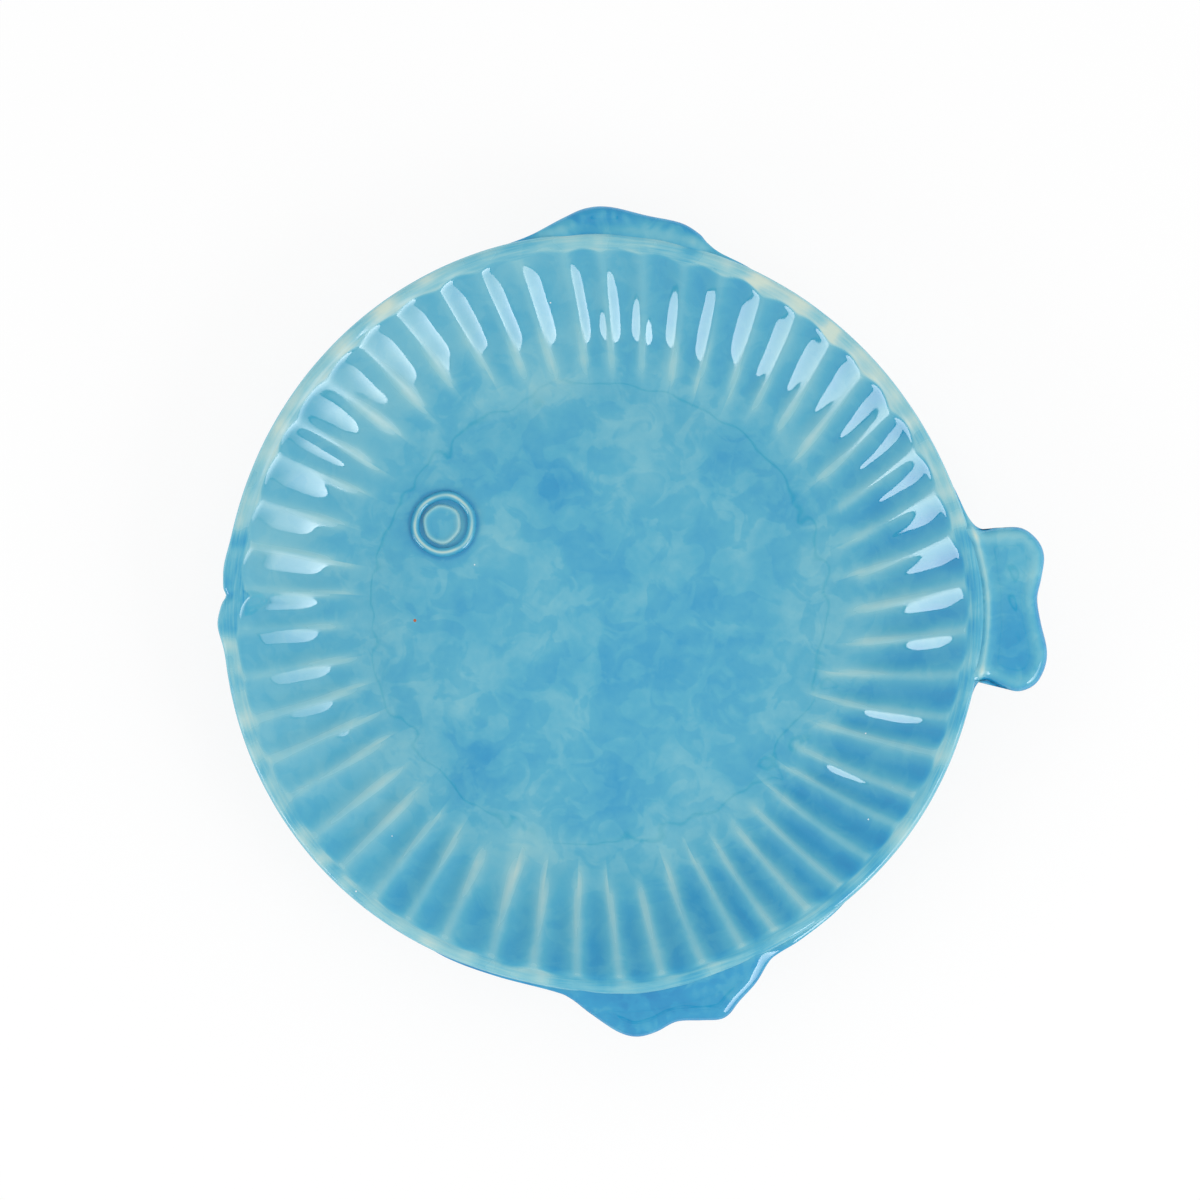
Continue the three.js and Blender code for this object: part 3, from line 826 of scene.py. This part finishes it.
def makeEyePupil():
    steps = eye["steps"]
    reach = (pupilHigh.x - pupilLow.x) / 2 / mm + eye["pupilGrow"]
    inner = reach - eye["pupilEdge"]
    edgeTurns = np.radians(np.arange(10, 100, 10))
    flat = np.linspace(0.02, inner, eye["pupilRows"])
    radius = np.concatenate([flat, inner + eye["pupilEdge"] * np.sin(edgeTurns)])
    top = pupilHigh.z / mm - eye["pupilDish"] * (1 - hump(radius, eye["pupilRim"], eye["pupilRimSpread"]))
    bottom = wellFloor - eye["sunk"]
    fall = smooth(radius, reach + eye["pupilFallFrom"], reach + eye["pupilFallTo"])
    height = top * (1 - fall) + bottom * fall
    middleX = eyeX + eye["pupilShift"]
    points = turnedPoints(radius, height, steps, middleX, eyeY, eye["pupilWobble"], 2)
    points = np.concatenate([points, [[middleX, eyeY, bottom]]])
    faces = ringFaces(0, len(radius), steps)
    last = (len(radius) - 1) * steps
    faces += [(last + k, last + (k + 1) % steps, len(points) - 1) for k in range(steps)]
    faces += [range(steps)]
    bare = hump(radius, reach - eye["pupilBareIn"], eye["pupilBareSpread"])
    thickness = np.repeat(eye["pupilCoat"] - eye["pupilBare"] * bare, steps)
    thickness = np.append(thickness, eye["pupilCoat"])
    addPiece("eyePupil", points, faces, eyeGlaze, "eye_pupil",
             thickness, np.zeros(len(points)))


makeEyeRing()
makeEyePupil()

foot = {"steps": 240, "rows": 19, "width": 5, "squareness": 0.45, "sunk": 0.3}


def makeFoot():
    half = foot["width"] / 2
    middle = (footHigh.x - footLow.x) / 2 / mm - half
    top = footTop + foot["sunk"]
    turns = np.radians(np.linspace(0, -180, foot["rows"]))
    radius = middle + half * np.sign(np.cos(turns)) * np.abs(np.cos(turns)) ** foot["squareness"]
    height = top + top * np.sign(np.sin(turns)) * np.abs(np.sin(turns)) ** foot["squareness"]
    points = turnedPoints(radius, height, foot["steps"], 0, 0)
    addPiece("footRing", points, turnedRing(len(radius), foot["steps"]), bareClay, "foot_ring")


makeFoot()
print("pieces made")

studio = {  # metres, degrees
    "floorSize": 10.0, "floorColour": (0.9, 0.9, 0.9, 1), "floorGlow": 0.86,
    "skyLevel": 0.632, "skyLean": 0.7, "horizon": 0.8,  # lean is towards the dorsal fin
    "glossLevel": 0.66, "backShade": 0.3, "backFrom": 0.15, "backTo": 0.7,
    "ringAt": 8.5, "ringSpread": 0.8, "ringShade": 1.0,  # dark ring overhead, seen in reflections only
}


def makeFloor():
    half = studio["floorSize"] / 2
    corners = [(-half, -half, 0), (half, -half, 0), (half, half, 0), (-half, half, 0)]
    mesh = bpy.data.meshes.new("floor")
    mesh.from_pydata(corners, [], [(0, 1, 2, 3)])
    floor = bpy.data.objects.new("floor", mesh)
    bpy.context.scene.collection.objects.link(floor)
    material, start, output = newMaterial("whiteTable")
    camera = start.node("ShaderNodeLightPath", pick=0)
    diffuse = start.node("ShaderNodeBsdfDiffuse", Color=studio["floorColour"])
    glow = start.node("ShaderNodeEmission", Color=(1, 1, 1, 1), Strength=1.0)
    table = start.node("ShaderNodeMixShader", _0=camera * studio["floorGlow"], _1=diffuse, _2=glow)
    below = start.node("ShaderNodeNewGeometry", pick=6)  # seen from underneath it is clear
    clear = start.node("ShaderNodeBsdfTransparent")
    start.plug(output.inputs[0], start.node("ShaderNodeMixShader", _0=below, _1=table, _2=clear))
    mesh.materials.append(material)


def makeSky():
    world = bpy.data.worlds.new("whiteStudio")
    bpy.context.scene.world = world
    world.use_nodes = True
    world.node_tree.nodes.clear()
    start = Socket(world.node_tree, None)
    camera = start.node("ShaderNodeLightPath", pick="Is Camera Ray")
    glossy = start.node("ShaderNodeLightPath", pick="Is Glossy Ray")
    direction = start.node("ShaderNodeTexCoord", pick=0)
    back = start.node("ShaderNodeSeparateXYZ", pick=1, Vector=direction)
    up = start.node("ShaderNodeSeparateXYZ", pick=2, Vector=direction)
    fromTop = start.math("ARCCOSINE", up) * (180 / pi)
    ring = fromTop.hump(studio["ringAt"], studio["ringSpread"]) * studio["ringShade"]
    shade = back.step(studio["backFrom"], studio["backTo"]) * studio["backShade"]
    reflected = (1 - ring) * (1 - shade) * studio["glossLevel"]
    lit = (1 + back * studio["skyLean"] + (1 - up) * studio["horizon"]) * studio["skyLevel"]
    strength = camera + (1 - camera) * (glossy * reflected + (1 - glossy) * lit)
    background = start.node("ShaderNodeBackground", Color=(1, 1, 1, 1), Strength=strength)
    output = world.node_tree.nodes.new("ShaderNodeOutputWorld")
    start.plug(output.inputs[0], background)


softboxes = {  # degrees as seen from the plate, then radiance and its shares at the foot and the far side
    "softboxLeft": {"direction": 210, "lowest": 7.5, "highest": 34, "width": 32, "radiance": 5.73,
                    "footShare": 0.6, "farShare": 1.0},
    "softboxRight": {"direction": 327, "lowest": 8, "highest": 45, "width": 42, "radiance": 9.17,
                     "footShare": 0.12, "farShare": 0.35},
}
softboxStand = {"distance": 1.25, "frame": 0.035, "frameBehind": 0.004, "frameCorners": 64}


# An oval softbox with a black frame that only reflections show
def makeSoftbox(name, facts):
    distance = softboxStand["distance"]
    direction = radians(facts["direction"])
    elevation = radians((facts["lowest"] + facts["highest"]) / 2)
    aim = Vector((cos(direction) * cos(elevation), sin(direction) * cos(elevation), sin(elevation)))
    target = Vector((dishCentre.x, dishCentre.y, rimTop * mm))
    sizeX = 2 * distance * tan(radians(facts["width"] / 2))
    sizeY = 2 * distance * tan(radians((facts["highest"] - facts["lowest"]) / 2))
    lamp = bpy.data.lights.new(name, "AREA")
    lamp.shape = "ELLIPSE"
    lamp.size = sizeX
    lamp.size_y = sizeY
    lamp.energy = facts["radiance"] * pi * pi / 4 * sizeX * sizeY
    lamp.use_nodes = True
    start = Socket(lamp.node_tree, None)
    place = start.node("ShaderNodeNewGeometry", pick=5)
    sideways = start.node("ShaderNodeSeparateXYZ", pick=0, Vector=place)
    upwards = start.node("ShaderNodeSeparateXYZ", pick=1, Vector=place)
    level = facts["footShare"] + upwards * (1 - facts["footShare"])
    level = level * (1 - sideways * (1 - facts["farShare"]))
    emission = lamp.node_tree.nodes["Emission"]
    start.plug(emission.inputs["Color"], level.blend((0, 0, 0, 1), (1, 1, 1, 1)))
    holder = bpy.data.objects.new(name, lamp)
    holder.location = target + aim * distance
    holder.rotation_euler = aim.to_track_quat("Z", "Y").to_euler()
    bpy.context.scene.collection.objects.link(holder)
    # frame
    count = softboxStand["frameCorners"]
    halfX = sizeX / 2 + softboxStand["frame"]
    halfY = sizeY / 2 + softboxStand["frame"]
    corners = [(halfX * cos(2 * pi * k / count), halfY * sin(2 * pi * k / count), 0) for k in range(count)]
    mesh = bpy.data.meshes.new(name + "Frame")
    mesh.from_pydata(corners, [], [range(count)])
    frameBack = bpy.data.objects.new(name + "Frame", mesh)
    frameBack.location = target + aim * (distance + softboxStand["frameBehind"])
    frameBack.rotation_euler = holder.rotation_euler
    bpy.context.scene.collection.objects.link(frameBack)
    material, start, output = newMaterial(name + "Black")
    start.plug(output.inputs[0], start.node("ShaderNodeBsdfDiffuse", Color=(0.01, 0.01, 0.01, 1)))
    mesh.materials.append(material)
    for kind in ("camera", "diffuse", "shadow", "transmission"):
        setattr(frameBack, "visible_" + kind, False)


view = {"distance": 1.4, "width": 333.3, "tilt": 2, "aim": (0.1, 3.7)}


def makeCamera():
    camera = bpy.data.cameras.new("camera")
    camera.sensor_width = 36
    camera.lens = camera.sensor_width * view["distance"] / (view["width"] * mm)
    aimX, aimY = view["aim"]
    aim = Vector(((dishX + aimX) * mm, (dishY + aimY) * mm, rimTop * mm))
    tilt = radians(view["tilt"])
    holder = bpy.data.objects.new("camera", camera)
    holder.rotation_euler = (tilt, 0, 0)
    holder.location = aim + Vector((0, -sin(tilt), cos(tilt))) * view["distance"]
    bpy.context.scene.collection.objects.link(holder)
    bpy.context.scene.camera = holder


makeFloor()
makeSky()
for boxName, boxFacts in softboxes.items():
    makeSoftbox(boxName, boxFacts)
makeCamera()
bpy.context.scene.view_settings.view_transform = "Standard"
print("studio made")
